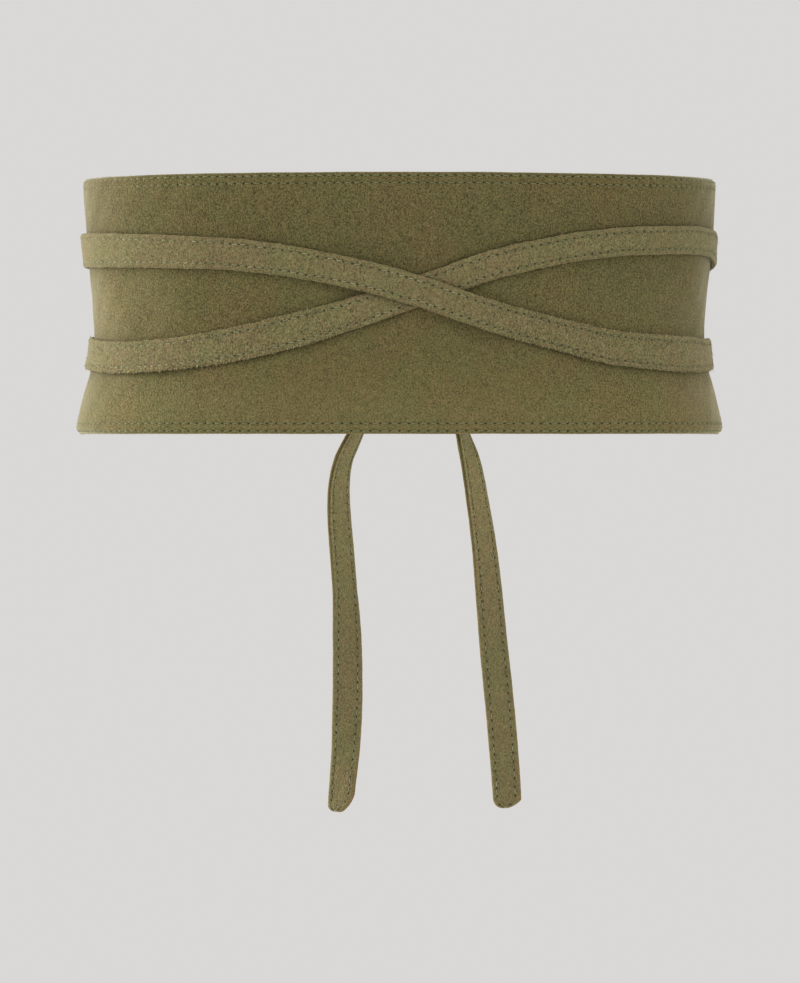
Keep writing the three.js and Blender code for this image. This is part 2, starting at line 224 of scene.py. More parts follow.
def halfWidth(height):
    # Half the belt's width at a height, on a smooth curve through its table
    return smoothCurve(belt["up"], belt["half"], np.asarray(height, float) - belt["bottom"])


def place(turn, height, out):
    # Ellipse at each height, moved out along its normal: x = a sin u, y = -b cos u
    half = halfWidth(height)
    deep = half * belt["depthShare"]
    sin, cos = np.sin(np.radians(turn)), np.cos(np.radians(turn))
    nx, ny = sin / half, -cos / deep
    norm = np.hypot(nx, ny)
    height = np.broadcast_to(height, np.shape(sin * half))
    return np.stack([half * sin + out * nx / norm, -deep * cos + out * ny / norm, height], axis=-1)


def speedAt(turn, height=0.0, out=0.0):
    # Millimetres round the waist for one degree: the ellipse's own, times 1 + out * a b / speed^3 outside it
    half = halfWidth(height)
    deep = half * belt["depthShare"]
    speed = np.hypot(half * np.cos(np.radians(turn)), deep * np.sin(np.radians(turn)))
    return speed * (1 + out * half * deep / speed**3) * np.pi / 180


def turnAtSide(side, height=0.0, out=0.0):
    # Turn of a place near the back that is so far to the side of the centre back
    return 180 + np.degrees(np.arcsin(side / (halfWidth(height) + out * belt["depthShare"])))


# The nap hides the stitches by these shares; hidden thread lies so many millimetres lower
hiding = {"left": 0.85, "leftFade": 25, "right": 0.3, "rightFrom": 45, "rightFade": 30, "noneFrom": 125,
          "noneFade": 20, "lower": 0.2}


def sunkAt(turn, leftFrom):
    # Most on the left, a little on the right, none at the back
    left = hiding["left"] * ease((-turn - leftFrom) / hiding["leftFade"])
    right = hiding["right"] * ease((turn - hiding["rightFrom"]) / hiding["rightFade"])
    return (left + right) * ease((hiding["noneFrom"] - np.abs(turn)) / hiding["noneFade"])


# Length round the waist from the centre front by turn, to go from either to the other
turnStep = 0.1
turnTable = np.linspace(-260, 260, 5201)
arcSteps = (speedAt(turnTable[1:]) + speedAt(turnTable[:-1])) / 2 * turnStep
arcTable = np.concatenate([[0], np.cumsum(arcSteps)])
arcTable -= np.interp(0, turnTable, arcTable)


def makeMesh(name, points, faces, uv=None, marks=None, smooth=True):
    # Points in millimetres go in with foreach_set; uv and marks are one value for each point
    mesh = bpy.data.meshes.new(name)
    faces = faces.tolist() if hasattr(faces, "tolist") else faces
    mesh.from_pydata(np.zeros((len(points), 3)).tolist(), [], faces)
    mesh.vertices.foreach_set("co", (points * millimetre).astype(np.float32).ravel())
    mesh.polygons.foreach_set("use_smooth", np.full(len(mesh.polygons), smooth))
    if uv is not None:
        corner = np.empty(len(mesh.loops), np.int32)
        mesh.loops.foreach_get("vertex_index", corner)
        layer = mesh.uv_layers.new(name="run")
        layer.data.foreach_set("uv", uv[corner].astype(np.float32).ravel())
    for key, values in (marks or {}).items():
        mesh.attributes.new(key, "FLOAT", "POINT").data.foreach_set("value", values.astype(np.float32))
    mesh.update()
    mesh.validate()
    thing = bpy.data.objects.new(name, mesh)
    bpy.context.scene.collection.objects.link(thing)
    return thing


def tubeFaces(rings, sides):
    # Quads between neighbouring rings of a closed outline, rings running along the first direction
    i, j = np.meshgrid(np.arange(rings - 1), np.arange(sides), indexing="ij")
    this, ahead, k = i * sides, (i + 1) * sides, (j + 1) % sides
    return np.stack([this + j, this + k, ahead + k, ahead + j], axis=-1).reshape(-1, 4)


# Panel

def endTurn(up):
    # Turn of the panel's end at a height: the gap's edge, drawn in by the corner's circle
    edge = np.minimum(up, belt["tall"] - up)
    missing = np.clip(belt["endCorner"] - edge, 0, None)
    inset = belt["endCorner"] - np.sqrt(belt["endCorner"] ** 2 - missing**2)
    return 180 - np.degrees(np.arcsin((belt["backGap"] / 2 + inset) / float(halfWidth(0.0))))


def arcEnd(up):
    # Length of the flat sheet from the centre front to its end, at a height above the lower edge
    return np.interp(endTurn(np.clip(up, 0, belt["tall"])), turnTable, arcTable)


# The edge line of the flat sheet runs straight to the corner, round it and along the end to the middle
# height, and is as long there as a whole number of stitches
halfSheet = float(arcEnd(belt["tall"] / 2))
cornerStart = halfSheet - belt["endCorner"]
mirrorUp = belt["tall"] - belt["topShift"]
endStraight = mirrorUp / 2 - belt["endCorner"]
cornerGuess = 0.75 * belt["endCorner"] * np.pi / 2
middleRun = belt["pitch"] * round((cornerStart + cornerGuess + endStraight) / belt["pitch"])
cornerRun = middleRun - cornerStart - endStraight


def alongEdge(arc, up):
    # Run along the nearest edge, by the angle round a corner, and distance in from it
    corner = belt["endCorner"]
    low = np.minimum(up, mirrorUp - up)
    past = np.abs(arc) - cornerStart
    turned = cornerRun * np.arctan2(past, corner - low) * 2 / np.pi
    run = np.where(past < 0, past, np.where(low > corner, cornerRun + low - corner, turned))
    inset = np.where(low > corner, corner - past, corner - np.hypot(past, corner - low))
    return np.sign(arc) * (cornerStart + run), np.where(past < 0, low, inset)


def edgePlace(run, inset):
    # The other way round, and past the middle of the end the run goes on up to the top edge
    corner = belt["endCorner"]
    past = np.minimum(run, 2 * middleRun - run) - cornerStart
    angle = np.clip(past / cornerRun, 0, 1) * np.pi / 2
    arc = cornerStart + np.minimum(past, 0) + (corner - inset) * np.sin(angle)
    up = corner - (corner - inset) * np.cos(angle) + np.maximum(past - cornerRun, 0)
    return arc, np.where(run > middleRun, mirrorUp - up, up)


def panelRelief(arc, up):
    # Sewing pulls a round groove along each row, and the suede between the rows stands up a little
    run, inset = alongEdge(arc, up)
    dip = sum(np.exp(-(((inset - row) / belt["grooveWide"]) ** 2)) for row in belt["stitchIn"])
    pucker = 1 + belt["grooveSwing"] * np.cos(2 * np.pi * run / belt["pitch"])
    puff = np.exp(-((inset - np.mean(belt["stitchIn"])) ** 2))
    return -belt["grooveDeep"] * dip * pucker + belt["puff"] * puff


def panelSurface(arc, up, lift=0.0, inside=False):
    # arc from the centre front and up above the lower edge on the flat sheet, lift off the face. Both faces
    # share the swells, and at the sides an edge draws in by tuck * (1 - up / tuckTall)^1.5
    turn = np.interp(arc, arcTable, turnTable)
    middling = np.sin(np.pi * np.clip(up / belt["tall"], 0, 1))
    swell = belt["swell"] * ripple(arc + 0.6 * up, belt["swellWave"], 3) * middling
    swell = swell + belt["dimple"] * ripple(arc - 0.8 * up, belt["dimpleWave"], 5)
    if inside:
        out = -belt["wall"] - panelRelief(arc, up) - lift + swell
    else:
        out = panelRelief(arc, up) + lift + swell
    wander = belt["wander"] * ripple(arc, belt["wanderWave"], 11)
    atSide = ease((np.abs(np.sin(np.radians(turn))) - 0.8) / 0.15)
    low = belt["tuck"] * np.clip(1 - up / belt["tuckTall"], 0, 1) ** 1.5
    high = belt["topTuck"] * np.clip(1 - (belt["tall"] - up) / belt["topTuckTall"], 0, 1) ** 1.5
    out = out - atSide * (low + high)
    return place(turn, belt["bottom"] + up + wander, out)


def panelMarks(arcs, ups, fromEnd):
    # What the material reads at each point: rawEdge, the painted light and shade, sunk and rough
    tall, patch, grain = belt["tall"], belt["patch"], belt["rough"]
    raw = np.clip(1.15 - np.minimum(ups, tall - ups) / belt["rawWide"], 0, 1)
    raw = np.maximum(raw, np.clip(1.1 - fromEnd / belt["rawEnd"], 0, 1)[:, None])
    turn = np.interp(arcs, arcTable, turnTable)
    far = ((turn - patch["turn"]) / patch["wide"]) ** 2 + ((ups - patch["up"]) / patch["tall"]) ** 2
    # painted light and shade: lighter towards the lower edge, darker above the middle, and the painted light
    # of the patch on the left
    paintedShading = np.interp(ups, belt["paintedShadingUp"], belt["paintedShading"]) + patch["paintedShading"] * np.exp(-far)
    low = belt["sunkLow"]
    sunk = sunkAt(turn, belt["sunkFrom"]) * (low + (1 - low) * ups / tall)
    rough = grain["least"] + grain["sides"] * ease((np.abs(turn) - grain["sidesFrom"]) / grain["fade"])
    rough = np.minimum(rough + grain["top"] * ups / tall, grain["most"])
    marks = {"rawEdge": raw, "paintedShading": paintedShading, "sunk": sunk, "rough": rough}
    return {key: values.ravel() for key, values in marks.items()}


def buildPanel():
    # A closed outline, up one face and down the other, carried from end to end. The long edges round off by
    # 1 - sqrt(n (2 - n)), n being the share of edgeRound, and the ends by sqrt(1 - (1 - n)^2)
    tall, wall = belt["tall"], belt["wall"]
    # rows of points, close together over the sewn edges
    sewnLow = [0.0, 0.25, 0.6, 0.95, 1.35, 1.75, 2.2, 2.9, 3.5, 4.0, 4.3, 4.6, 4.9, 5.3, 6.0]
    sewnTop = [6.0, 5.7, 5.4, 5.1, 4.8, 4.4, 3.9, 3.2, 2.6, 2.1, 1.75, 1.4, 1.0, 0.6, 0.25, 0.0]
    rise = np.concatenate([sewnLow, np.linspace(7.4, tall - 7.4, 50), tall - np.array(sewnTop)])
    edge = np.minimum(rise, tall - rise)
    near = np.clip(edge / belt["edgeRound"], 0, 1)
    rounding = wall / 2 * (1 - np.sqrt(near * (2 - near)))
    count = len(rise)
    up = np.concatenate([rise, rise[::-1]])
    inside = np.concatenate([np.zeros(count, bool), np.ones(count, bool)])
    drawIn = np.concatenate([rounding, rounding[::-1]])
    columns = np.linspace(-halfSheet, halfSheet, belt["columns"])
    fine = np.array([0.1, 0.35, 0.7])
    columns = np.unique(np.concatenate([columns, fine - halfSheet, halfSheet - fine]))
    fromEnd = halfSheet - np.abs(columns)
    thin = np.sqrt(np.clip(1 - (1 - np.clip(fromEnd / belt["endRound"], 0, 1)) ** 2, 0.01, 1))
    shares, ups = np.meshgrid(columns / halfSheet, up, indexing="ij")
    arcs = shares * arcEnd(ups)
    outer = panelSurface(arcs, ups)
    inner = panelSurface(arcs, ups, inside=True)
    middle = (outer + inner) / 2
    own = np.where(inside[None, :, None], inner, outer)
    shrink = (1 - drawIn / (wall / 2))[None, :, None] * thin[:, None, None]
    points = middle + (own - middle) * np.maximum(shrink, 0.03)
    rings, sides = points.shape[:2]
    faces = tubeFaces(rings, sides)[:, ::-1]
    j = np.arange(count - 1)
    first = np.stack([j, j + 1, sides - 2 - j, sides - 1 - j], axis=-1)
    last = first[:, ::-1] + (rings - 1) * sides
    faces = np.concatenate([faces, first, last])
    run, inset = alongEdge(arcs, ups)
    uv = np.stack([run / belt["pitch"], inset / 10], axis=-1).reshape(-1, 2)
    return makeMesh("panelSuede", points.reshape(-1, 3), faces, uv, panelMarks(arcs, ups, fromEnd))


# Straps

def strapStations(form):
    # Centre line, width and directions at each station, from the sewn end round the waist and through the
    # knot to the tip. Directions are (round the waist, up, out), and across points along the width
    shift = knot["x"] if form["mirrored"] else -knot["x"]
    handing = -1.0 if form["mirrored"] else 1.0
    thick, clear = strap["thick"], strap["clear"]
    start = shift - knot["long"] / 2 - knot["approach"]
    parts = []

    # round the waist
    turn = np.linspace(form["turn"][0], float(turnAtSide(start, 0, clear + thick / 2)), 780, endpoint=False)
    height = smoothCurve(form["turn"], form["height"], turn)
    width = smoothCurve(form["turn"], form["width"], turn)
    lift = np.zeros_like(turn)
    for middle, reach, slope in form["lifts"]:
        lift = np.maximum(lift, ease((reach + slope - np.abs(turn - middle)) / slope))
    out = clear + thick / 2 + lift * (thick + strap["layerGap"])
    out = out + strap["waver"] * ripple(turn, strap["waverWave"], 21) * (1 - lift)
    speed = speedAt(turn)
    step = turn[1] - turn[0]
    along = np.stack([speed * step, np.gradient(height), np.gradient(out)], axis=-1)
    across = np.stack([-along[:, 1], along[:, 0], 0 * out], axis=-1)
    lean = strap["lean"] * ripple(turn, strap["leanWave"], 31)
    for at, degrees, reach in form["leans"]:
        lean = lean + degrees * np.exp(-(((turn - at) / reach) ** 2))
    lean = np.radians(lean)[:, None]
    out = out + thick / 2 * np.abs(np.sin(lean[:, 0]))
    normal = np.cross(along, across)
    normal /= np.linalg.norm(normal, axis=1, keepdims=True)
    across = across / np.linalg.norm(across, axis=1, keepdims=True) * np.cos(lean) + normal * np.sin(lean)
    parts.append((turn, height, out, width, 0 * turn, along, across))

    # rolling up onto its edge and gathering to half a round rope
    share = np.linspace(0, 1, 44, endpoint=False)
    side = start + knot["approach"] * share
    roll = np.radians(90 * ease(share / 0.9))
    fold = ease((share - 0.45) / 0.55)
    width = smoothCurve(form["turn"], form["width"], turnAtSide(side))
    halfWide = width / 2 * (1 - fold) + knot["radius"] * fold
    halfThick = thick / 2 * (1 - fold) + knot["radius"] / 2 * fold
    middle = (knot["radius"] + knot["flat"]) / 2  # of half the rope, from the rope's axis
    top = knot["height"] + middle
    level = smoothCurve(form["turn"], form["height"], turnAtSide(side))
    height = level + (top - level) * ease(share)
    out = clear + halfWide * np.sin(roll) + halfThick * np.cos(roll)
    along = np.stack([np.gradient(side), np.gradient(height), np.gradient(out)], axis=-1)
    across = np.stack([0 * roll, np.cos(roll), -np.sin(roll)], axis=-1)
    parts.append((turnAtSide(side, height, out), height, out, width, fold, along, across))

    # the knot: half of a round rope that turns one and a half times about a level axis
    share = np.linspace(0, 1, 121, endpoint=False)
    eased = share - np.sin(2 * np.pi * share) / (2 * np.pi) * knot["tightening"]
    angle = np.radians(90 + handing * knot["turn"] * eased)
    side = shift - knot["long"] / 2 + knot["long"] * share
    height = knot["height"] + middle * np.sin(angle)
    out = clear + knot["radius"] + middle * np.cos(angle)
    along = np.stack([0 * side + 1, 0 * side, 0 * side], axis=-1)
    across = np.stack([0 * side, np.cos(angle), -np.sin(angle)], axis=-1)
    turn = turnAtSide(side, knot["height"], clear + knot["radius"])
    parts.append((turn, height, out, 0 * side + form["width"][-1], 0 * side + 1, along, across))

    # the hanging end, on a smooth curve by its length, which starts a little inside the knot
    before = 2.5
    exitSide, exitHeight = shift + knot["long"] / 2, knot["height"] - middle
    sides = np.array([exitSide - before, exitSide, *form["tailSide"]])
    heights = np.array([exitHeight, exitHeight, *form["tailHeight"]])
    outs = np.array([clear + knot["radius"]] * 2 + list(form["tailOut"]))
    length = np.sqrt(np.diff(sides) ** 2 + np.diff(heights) ** 2 + np.diff(outs) ** 2)
    length = np.concatenate([[0], np.cumsum(length)])
    at = np.linspace(before, length[-1], 240)
    at = np.unique(np.concatenate([at, length[-1] - np.array([0.05, 0.2, 0.45, 1.2])]))
    side, height, out = (smoothCurve(length, column, at) for column in (sides, heights, outs))
    along = np.stack([np.gradient(side, at), np.gradient(height, at), np.gradient(out, at)], axis=-1)
    along /= np.linalg.norm(along, axis=1, keepdims=True)
    fold = 1 - ease((at - before) / knot["opens"])
    twist = smoothCurve(-np.array(form["tailHeight"]), form["tailTwist"], -height)
    twist = np.radians(np.where(height > form["tailHeight"][0], 90, twist))
    outward = np.array([0, 0, 1.0]) - along * along[:, 2:3]
    outward /= np.linalg.norm(outward, axis=1, keepdims=True)
    across = outward * np.sin(twist)[:, None] + np.cross(along, outward) * np.cos(twist)[:, None]
    turn = turnAtSide(side, height, out)
    parts.append((turn, height, out, 0 * side + form["width"][-1], fold, along, across))

    turn, height, out, width, fold, along, across = (np.concatenate(column) for column in zip(*parts))
    along = along / np.linalg.norm(along, axis=1, keepdims=True)
    across = across - along * np.sum(across * along, axis=1, keepdims=True)
    across /= np.linalg.norm(across, axis=1, keepdims=True)
    path = {"turn": turn, "height": height, "out": out, "width": width, "fold": fold, "wide": across,
            "thickWay": np.cross(along, across), "flip": -1.0 if form["mirrored"] else 1.0}
    path["bow"] = 0 * turn
    for at, rise, reach in form["bows"]:
        path["bow"] += rise * np.exp(-(((turn - at) / reach) ** 2))
    centre = place(turn, height, out)
    path["run"] = np.concatenate([[0], np.cumsum(np.linalg.norm(np.diff(centre, axis=0), axis=1))])
    path["total"] = path["run"][-1]
    return path


def strapPoint(path, run, p, q):
    # Point at a length along the strap, p across its width and q off its middle, all in millimetres;
    # a bow adds bow * (1 - (p / 7)^2) to q
    turn, height, out, bow = (np.interp(run, path["run"], path[key])
                              for key in ("turn", "height", "out", "bow"))
    wide = np.stack([np.interp(run, path["run"], path["wide"][:, k]) for k in range(3)], axis=-1)
    thick = np.stack([np.interp(run, path["run"], path["thickWay"][:, k]) for k in range(3)], axis=-1)
    q = q + bow * (1 - (np.asarray(p) / 7) ** 2)
    move = wide * np.asarray(p)[..., None] + thick * q[..., None]
    height, out = height + move[..., 1], out + move[..., 2]
    point = place(turn + move[..., 0] / speedAt(turn, height, out), height, out)
    return point * np.array([path["flip"], 1, 1])


def waistTurn(path, run):
    # Turn at a length along the strap, counted to the right for both straps
    return path["flip"] * np.interp(run, path["run"], path["turn"])


def heightAt(path, run):
    return np.interp(run, path["run"], path["height"])


def lowAt(path, run):
    # 1 on the strap's low runs, 0 above them
    level, fade = strap["low"]
    return ease((level - heightAt(path, run)) / fade)


def edgeWave(path, run, sign):
    # How far each long edge wanders from straight, less on the hanging end
    seed = (41 if sign > 0 else 42) + (5 if path["flip"] < 0 else 0)
    hang = ease((-20 - heightAt(path, run)) / 20)
    (far, wave), (less, shortWave) = strap["edgeWaves"]
    wander = far * ripple(run, wave, seed) + less * ripple(run, shortWave, seed + 2)
    return wander * (1 - strap["hangSteady"] * hang)


def cornerInset(distance, cut, reach, bow=2.0):
    # A corner's cut: cut * (1 - (1 - missing^bow)^(1/bow)), missing being the share of its reach still ahead
    missing = np.clip(reach - distance, 0, None) / reach
    return cut * (1 - np.clip(1 - missing**bow, 0, 1) ** (1 / bow))


def halfAt(path, form, run, sign):
    # Half width on one side, narrowed by the round corners of both ends
    half = np.interp(run, path["run"], path["width"]) / 2 + edgeWave(path, run, sign)
    cut, reach, bow = form["tipCut"][sign]
    return half - cornerInset(path["total"] - run, cut, reach, bow) - cornerInset(run, 1.5, 1.5)


def strapMarks(path, p, q, inset):
    # What the material reads at each point: rawEdge, seam with its painted shade, the painted light and
    # shade, sunk and rough
    run, fold, height, paint = path["run"], path["fold"][:, None], path["height"], edgePaint
    (hangFrom, hangFade), (linesTo, linesFade) = paint["hang"], paint["lines"]
    hang = ease((hangFrom - height) / hangFade)[:, None]
    left = hang * ease((height - linesTo) / linesFade)[:, None] * (p < 0)
    front = q * path["flip"]
    raw = np.clip(1.1 - inset / paint["rawWide"], 0, 1)
    raw = np.maximum(raw, np.clip(1.1 - (path["total"] - run) / paint["rawEnd"], 0, 1)[:, None])
    raw = raw * (0.25 + 0.75 * hang * np.where(p > 0, 1.0, 0.2))
    # the joint between the two layers in each edge: a dark joint, and painted shade of the gap between them
    seam = np.exp(-((q / paint["seamWide"]) ** 2)) * (inset < 0.1) * (1 - fold) * (1 - left)
    # painted shade: a dark line on the left edge's thickness, which is turned from the light, and on the
    # layer behind
    dark = np.exp(-(((front - paint["edgeShadeAt"]) / paint["edgeShadeWide"]) ** 2)) * (inset < 0.7)
    shadeBehind = paint["shadeBehind"] * (front < 0) * np.clip(1.2 - inset / 1.5, 0, 1)
    seam = np.maximum(seam, left * np.maximum(dark, shadeBehind))
    # painted highlight along the corner of the front face
    paintedHighlight = left * (front > 0.9) * np.exp(-(((inset - paint["lightIn"]) / paint["lightWide"]) ** 2))
    # painted light: the hanging ends lighter towards the knot, and the painted highlight line on the left
    # edge
    paintedShading = 1 + np.interp(height, strap["paintedShadingHeight"], strap["paintedShading"])[:, None] + paint["paintedHighlight"] * paintedHighlight
    low = lowAt(path, run) * ease((85 - np.abs(path["turn"])) / 12)
    rough = (1 + strap["lowRough"] * low)[:, None] + strap["hangRough"] * hang + 0 * p
    sunk = sunkAt(waistTurn(path, run), strap["sunkFrom"])[:, None] + 0 * p
    marks = {"rawEdge": raw, "seam": seam, "paintedShading": paintedShading, "sunk": sunk, "rough": rough}
    return {key: values.ravel() for key, values in marks.items()}


def buildStrap(name, form, path):
    # Outline of two flat faces and two edges, carried along the path. In the knot each of its lines moves,
    # by the fold, onto half a round rope: the outer face is its pleated round side, the inner one its flat
    run, fold = path["run"], path["fold"][:, None]
    half = {sign: halfAt(path, form, run, sign) for sign in (1, -1)}
    thick, rope = strap["thick"], knot["radius"]
    ropeMiddle = (rope + knot["flat"]) / 2
    wall = 1 - 0.75 * (1 - np.clip((path["total"] - run) / 0.9, 0, 1)) ** 2  # thinner at the tip
    farthest = 4.4
    fromEdge = np.array([0.08, 0.3, 0.65, 1.1, 1.6, 1.95, 2.25, 2.5, 2.75, 3.1, 3.6, farthest])
    faceSpots = [(1, d) for d in fromEdge] + [(1, None), (0, None), (-1, None)]
    faceSpots += [(-1, d) for d in fromEdge[::-1]]
    lines = []

    def addLine(p, q, ropeP, ropeQ, inset):
        lines.append((p, q * wall, ropeP + 0 * run, ropeQ - ropeMiddle + 0 * run, inset + 0 * run))

    def addFace(side):
        # Two grooves, round shoulders at the edges and soft dimples
        for sign, inset in faceSpots:
            sign = side * sign
            near = half[1 if sign >= 0 else -1]
            if inset is None:
                p = (half[1] - half[-1]) / 2 + 0.38 * sign * (near - farthest).clip(0)
                inset = farthest
            else:
                inset = inset * np.clip(near / 7.0, 0.05, 1)
                p = sign * (near - inset)
            dip = strap["grooveDeep"] * np.exp(-(((inset - strap["stitchIn"]) / strap["grooveWide"]) ** 2))
            pucker = 1 + strap["grooveSwing"] * np.cos(2 * np.pi * run / strap["pitch"])
            edgeward = np.clip(1 - inset / strap["shoulderWide"], 0, 1)
            shoulder = strap["shoulder"] * (1 - np.sqrt(1 - edgeward**2))
            dimple = strap["dimple"] * ripple(run + 1.7 * p, strap["dimpleWave"], 51)
            share = p / np.maximum(near, 0.5)
            angle = np.radians(90 - 80 * share)
            pleat = knot["pleat"] * np.cos(knot["pleats"] * angle) + knot["pleatWander"] * ripple(run, 7, 61)
            if side > 0:
                ropeP, ropeQ = rope * (1 + pleat) * np.cos(angle), rope * (1 + pleat) * np.sin(angle)
            else:
                ropeP, ropeQ = rope * 0.96 * share, knot["flat"]
            addLine(p, side * (thick / 2 - dip * pucker - shoulder + dimple), ropeP, ropeQ, inset)

    def addEdge(side):
        # A cut edge with the seam between its two layers
        for share in (0.16, 0.08, 0.0, -0.08, -0.16):
            up = -side * share * thick / 2
            seam = strap["seamDeep"] * np.exp(-((up / strap["seamWide"]) ** 2))
            angle = np.radians(6 + 8 * up / thick)
            addLine(side * (half[side] - seam), up, side * rope * np.cos(angle), rope * np.sin(angle), 0)

    addFace(1)
    addEdge(-1)
    addFace(-1)
    addEdge(1)
    p, q, ropeP, ropeQ, inset = (np.stack(column, axis=1) for column in zip(*lines))
    p = p + (ropeP - p) * fold
    q = q + (ropeQ - q) * fold
    rings, sides = p.shape
    runs = np.broadcast_to(run[:, None], p.shape)
    points = strapPoint(path, runs, p, q)
    uv = np.stack([runs / strap["pitch"], inset / 10], axis=-1).reshape(-1, 2)
    faces = tubeFaces(rings, sides)
    ends = [np.arange(sides), np.arange(sides)[::-1] + (rings - 1) * sides]
    if not form["mirrored"]:
        faces = faces[:, ::-1]
        ends = [end[::-1] for end in ends]
    faces = faces.tolist() + [end.tolist() for end in ends]
    return makeMesh(name, points.reshape(-1, 3), faces, uv, strapMarks(path, p, q, inset))


# Sewing

# The length is a share of the pitch; each range is the spread from stitch to stitch
stitch = {"length": 0.7, "lengths": (0.93, 1.05), "radius": 0.2, "wide": 1.15, "rise": 0.22, "dive": 0.5,
          "rises": (0.85, 1.1), "slant": 0.1, "slants": 0.08, "rings": 6, "sides": 6}


def sewRow(pointAt, first, last, pitch, seed):
    # Each stitch is a short tube on an arch from hole to hole, t from -1 to 1: rise * (1 - t^4) - dive * t^8,
    # of radius * sqrt(1 - 0.75 t^6). pointAt gives a place by the length along the row, slant and lift
    count = int((last - first) / pitch)
    dice = np.random.default_rng(seed)
    middle = first + (np.arange(count) + 0.5) * pitch
    t = np.linspace(-1, 1, stitch["rings"])
    t = np.sign(t) * np.abs(t) ** 0.8
    reach = stitch["length"] * pitch / 2 * dice.uniform(*stitch["lengths"], (count, 1))
    at = middle[:, None] + reach * t
    lift = stitch["rise"] * (1 - t**4) - stitch["dive"] * t**8
    lift = lift * dice.uniform(*stitch["rises"], (count, 1))
    slant = (stitch["slant"] + dice.normal(0, stitch["slants"], (count, 1))) * t
    centre = pointAt(at, slant, lift)
    normal = pointAt(at, slant, lift + 0.5) - centre
    normal /= np.linalg.norm(normal, axis=-1, keepdims=True)
    along = np.gradient(centre, axis=1)
    along /= np.linalg.norm(along, axis=-1, keepdims=True)
    side = np.cross(normal, along)
    side /= np.linalg.norm(side, axis=-1, keepdims=True)
    angle = np.arange(stitch["sides"]) * 2 * np.pi / stitch["sides"]
    radius = stitch["radius"] * np.sqrt(np.clip(1 - 0.75 * t**6, 0.1, 1))[None, :, None, None]
    ring = (centre[:, :, None] + side[:, :, None] * np.cos(angle)[:, None] * radius * stitch["wide"]
            + normal[:, :, None] * np.sin(angle)[:, None] * radius)
    one = stitch["rings"] * stitch["sides"]
    quads = tubeFaces(stitch["rings"], stitch["sides"])
    cap = np.array([[0, 1, 2, 3], [0, 3, 4, 5]])
    farCap = cap[:, ::-1] + one - stitch["sides"]
    single = np.concatenate([quads[:, ::-1], cap, farCap])
    faces = (single[None] + (np.arange(count) * one)[:, None, None]).reshape(-1, 4)
    return ring.reshape(-1, 3), faces, np.repeat(dice.uniform(0, 1, count), one)


def joinParts(name, parts):
    # Puts several sets of points, faces and shades into one mesh
    points, faces, shades = zip(*parts)
    first = np.cumsum([0] + [len(some) for some in points[:-1]])
    faces = np.concatenate([some + start for some, start in zip(faces, first)])
    return makeMesh(name, np.concatenate(points), faces, None, {"shade": np.concatenate(shades)})


def sewPanel():
    # Two rows along the lower and the upper edge, outside and inside, joined by two rows round each end
    pitch = belt["pitch"]
    straight = np.floor(cornerStart / pitch) * pitch
    parts = []
    for number, row in enumerate(belt["stitchIn"]):
        for inside in (False, True):
            for top in (False, True):
                def alongRow(at, slant, lift):
                    up = row + slant + 0 * at
                    lower = hiding["lower"] * (1.0 if top else belt["sunkLow"])
                    lift = lift - lower * sunkAt(np.interp(at, arcTable, turnTable), belt["sunkFrom"])
                    return panelSurface(at, mirrorUp - up if top else up, lift - belt["threadSunk"], inside)
                seed = 100 + number + 2 * inside + 4 * top
                parts.append(sewRow(alongRow, -straight, straight, pitch, seed))
            for sign in (-1, 1):
                def roundEnd(at, slant, lift):
                    arc, up = edgePlace(at, row + slant)
                    return panelSurface(sign * arc, up, lift - belt["threadSunk"], inside)
                seed = 140 + number + 2 * inside + 4 * sign
                parts.append(sewRow(roundEnd, straight, 2 * middleRun - straight, pitch, seed))
    return joinParts("panelStitches", parts)


def sewStrap(name, form, path):
    # Rows along both edges of both faces, left out where the strap is gathered in the knot, one across the
    # tip on each face, and the two short rows of the sewn end
    folded = path["run"][path["fold"] > strap["gatheredFrom"]]
    pitch, stitchIn, total = strap["pitch"], strap["stitchIn"], path["total"]
    stop = np.floor(folded[0] / pitch) * pitch
    again = np.ceil(folded[-1] / pitch) * pitch
    end = np.floor((total - stitchIn - 0.6) / pitch) * pitch
    face = strap["thick"] / 2
    parts = []
    for side in (1, -1):
        for edge in (1, -1):
            def alongEdgeRow(at, slant, lift):
                at = np.broadcast_to(at, lift.shape)
                p = edge * (halfAt(path, form, at, edge) - stitchIn) + slant
                lift = lift - hiding["lower"] * sunkAt(waistTurn(path, at), strap["sunkFrom"])
                return strapPoint(path, at, p, side * (face - strap["threadSunk"] + lift))
            seed = 200 + side + 3 * edge + (20 if form["mirrored"] else 0)
            parts.append(sewRow(alongEdgeRow, pitch, stop, pitch, seed))
            parts.append(sewRow(alongEdgeRow, again, end, pitch, seed + 40))

        def acrossTip(at, slant, lift):
            run = np.broadcast_to(total - stitchIn - 0.2 + slant, lift.shape)
            q = side * (face - strap["crossSunk"] + lift)
            return strapPoint(path, run, np.broadcast_to(at, lift.shape), q)
        left, right = (float(halfAt(path, form, total - stitchIn, sign)) - 1.6 for sign in (-1, 1))
        parts.append(sewRow(acrossTip, -left, right, (right + left) / 2.01, 300 + side))
    for spot in strap["endRows"]:
        def acrossEnd(at, slant, lift):
            run = np.broadcast_to(spot + slant, lift.shape)
            return strapPoint(path, run, np.broadcast_to(at, lift.shape), face - strap["crossSunk"] + lift)
        reach = strap["endRowHalf"]
        parts.append(sewRow(acrossEnd, -reach, reach, strap["endPitch"], 320 + int(spot)))
    # painted shade: stitches on the right of the waist, above the hanging ends, are pushed to the darker
    # thread colour
    rightThreadShade = strap["rightThreadShade"]
    shadedStitchParts = []
    for points, faces, shade in parts:
        less = ease((points[:, 0] - rightThreadShade["from"]) / rightThreadShade["fade"]) * (points[:, 2] > rightThreadShade["above"])
        shadedStitchParts.append((points, faces, shade * (1 - rightThreadShade["share"] * less)))
    return joinParts(name, shadedStitchParts)


# Loose fibres

